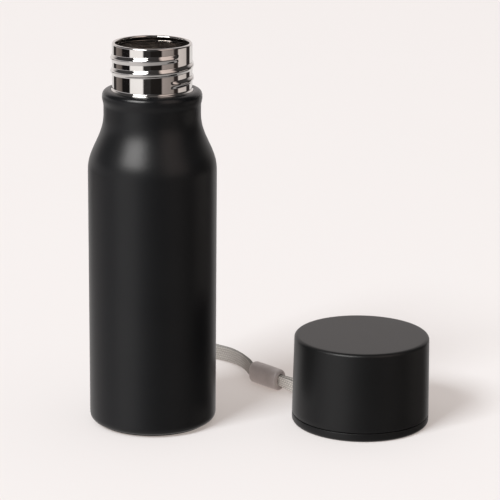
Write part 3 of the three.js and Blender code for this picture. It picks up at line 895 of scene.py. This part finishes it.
# The layers over the floor, from the lowest up: each takes over from the one below it between two
# heights, where a height is the sine of the elevation.
LAYERS = [
    (-0.58, -0.40, ROOM_BANDS),
    (-0.28, -0.26, CARD_BANDS),
    (-0.145, -0.12, ROOM_BANDS),
    (0.04, 0.16, SKY_BANDS),
    (0.75, 0.95, [(-180, CEILING), (180, CEILING)]),
]


def world():
    """The studio round the object: a plain pale surround to the camera and to soft light, and the
    room's cards, dark gaps and backdrop to reflections."""
    made = bpy.data.worlds.new("studio")
    bpy.context.scene.world = made
    made.use_nodes = True
    tree = made.node_tree
    tree.nodes.clear()

    direction = add_node(tree, "ShaderNodeTexCoord").outputs["Generated"]
    east, north, height = add_node(tree, "ShaderNodeSeparateXYZ", Vector=direction).outputs
    front = calculate(tree, "MULTIPLY", north, -1.0)
    round_about = calculate(tree, "ARCTAN2", east, front)
    place = add_node(
        tree, "ShaderNodeMapRange", Value=round_about, From_Min=-math.pi, From_Max=math.pi,
    ).outputs[0]

    def bands(stops):
        ramp = add_node(tree, "ShaderNodeValToRGB", Fac=place)
        elements = ramp.color_ramp.elements
        while len(elements) < len(stops):
            elements.new(0.5)
        for element, (degrees, colour) in zip(elements, stops):
            element.position = (degrees + 180.0) / 360.0
            element.color = (*colour, 1.0)
        return ramp.outputs["Color"]

    def mixed(share, first, second):
        """first where share is 0, second where it is 1."""
        new = add_node(tree, "ShaderNodeMix", {"data_type": "RGBA"}, Factor=share)
        colours = [socket for socket in new.inputs if socket.type == "RGBA"]
        for socket, value in zip(colours, (first, second)):
            if isinstance(value, bpy.types.NodeSocket):
                tree.links.new(value, socket)
            else:
                socket.default_value = (*value, 1.0)
        return next(socket for socket in new.outputs if socket.type == "RGBA")

    room = bands(FLOOR_BANDS)
    for low, high, stops in LAYERS:
        share = add_node(
            tree, "ShaderNodeMapRange", {"interpolation_type": "SMOOTHSTEP"},
            Value=height, From_Min=low, From_Max=high,
        ).outputs[0]
        room = mixed(share, room, bands(stops))
    above = calculate(tree, "MAXIMUM", height, 0.0)
    overhead = calculate(tree, "POWER", above, 2.0, use_clamp=True)
    rays = add_node(tree, "ShaderNodeLightPath").outputs
    plain = mixed(rays["Is Camera Ray"], mixed(overhead, SIDE_LIGHT, TOP_LIGHT), PALE_WALL)
    seen = mixed(rays["Is Glossy Ray"], plain, room)
    background = add_node(tree, "ShaderNodeBackground", Color=seen, Strength=1.0)
    add_node(tree, "ShaderNodeOutputWorld", Surface=background.outputs[0])


LAMP_TARGET = Vector((0.05, 0.0, 0.08))  # between the flask and the cap


def soft_box(name, azimuth, elevation, distance, width, height, power, colour):
    """A rectangular lamp that faces the objects from an azimuth (0 is the camera's side, right is
    positive) and an elevation in degrees. Sizes are in metres and power is in watts."""
    data = bpy.data.lights.new(name, "AREA")
    data.shape = "RECTANGLE"
    data.size = width
    data.size_y = height
    data.energy = power
    data.color = colour
    lamp = bpy.data.objects.new(name, data)
    bpy.context.scene.collection.objects.link(lamp)
    around, up = math.radians(azimuth), math.radians(elevation)
    away = Vector((math.sin(around) * math.cos(up), -math.cos(around) * math.cos(up), math.sin(up)))
    lamp.location = LAMP_TARGET + away * distance
    lamp.rotation_mode = "QUATERNION"
    lamp.rotation_quaternion = away.to_track_quat("Z", "Y")
    return lamp


# ---------------------------------------------------------------- the scene
make_camera()
bpy.context.scene.view_settings.view_transform = "Standard"

webbing = woven("webbing", (0.135, 0.122, 0.108), (0.44, 0.395, 0.358), 0.2)
# The tape's webbing is a much lighter copy of the strap's: painted light, lifting the tape out of the
# shade it lies in.
lightened_tape_webbing = woven("tape_webbing", (0.11, 0.10, 0.09), (0.86, 0.79, 0.72), 0.2)
sleeve_rubber = silicone("sleeve_rubber", (0.50, 0.43, 0.405), (0.58, 0.505, 0.477), 0.36, 0.46, 0.6)
steel = plain_metal("plain_steel", (0.42, 0.41, 0.40), (0.58, 0.57, 0.55), 0.22, 0.36)

strap, strap_line, strap_length = wrist_strap(webbing)
tape = lug_tape(lightened_tape_webbing)
sleeve = strap_sleeve(sleeve_rubber)

cap_plastic = moulded_plastic(
    "cap_plastic", (0.0044, 0.0042, 0.0042), (0.0054, 0.0052, 0.0052), 0.34, 0.41, 0.42,
)
ring_plastic = moulded_plastic(
    "ring_plastic", (0.0040, 0.0038, 0.0038), (0.0050, 0.0048, 0.0048), 0.38, 0.46, 0.42,
)
insert_plastic = moulded_plastic(
    "insert_plastic", (0.035, 0.034, 0.034), (0.045, 0.044, 0.043), 0.42, 0.52, 0.5,
)
cover_plastic = moulded_plastic(
    "cover_plastic", (0.009, 0.009, 0.009), (0.012, 0.012, 0.012), 0.5, 0.6, 0.4,
)
pad_rubber = silicone("pad_rubber", (0.010, 0.010, 0.010), (0.016, 0.016, 0.016), 0.7, 0.9)
coat = powder_coat()
neck_steel = mirror_steel()
inner_steel = liner_steel()

flask_body(coat)
flask_neck(neck_steel)
flask_liner(inner_steel)
flask_bottom(inner_steel)
flask_foot(cover_plastic, pad_rubber)
cap_cover(cap_plastic)
swivel_ring(ring_plastic)
lug(ring_plastic)
pin(steel)

KEPT_NODES = {
    "cap_insert": insert_plastic,
    "cap_foam": silicone("foam", (0.62, 0.60, 0.55), (0.78, 0.76, 0.71), 0.85, 0.95, 0.2),
    "cap_gasket": silicone("gasket", (0.50, 0.48, 0.45), (0.60, 0.58, 0.54), 0.35, 0.5, 0.4, 0.2),
    "copper_wrap": plain_metal("copper_foil", (0.62, 0.31, 0.19), (0.78, 0.44, 0.29), 0.2, 0.34),
    "outer_bottom": inner_steel,
    "getter_clip": steel,
    "strap_crimp": steel,
    "getter_pellet": plain_metal("getter_alloy", (0.10, 0.095, 0.09), (0.2, 0.19, 0.18), 0.5, 0.7),
    "vacuum_seal": silicone("seal_glass", (0.02, 0.03, 0.03), (0.035, 0.05, 0.05), 0.1, 0.18, 0.5),
}
for name, look in KEPT_NODES.items():
    mesh = frame["nodes"][name].data
    mesh.materials.clear()
    mesh.materials.append(look)
    mesh.polygons.foreach_set("use_smooth", [True] * len(mesh.polygons))
    mesh.set_sharp_from_angle(angle=math.radians(32.0))

floor()
world()
# The key is two lamps: one lights the matt surfaces and the floor, the other is what gloss mirrors.
key = soft_box(
    "key", azimuth=-43.0, elevation=42.5, distance=30.0, width=11.5, height=9.5, power=10700.0,
    colour=(0.89, 0.955, 1.0),
)
key.visible_glossy = False
glint = soft_box(
    "key_glint", azimuth=-38.0, elevation=35.5, distance=14.0, width=8.6, height=5.8, power=1500.0,
    colour=(1.0, 0.985, 0.97),
)
glint.visible_diffuse = False
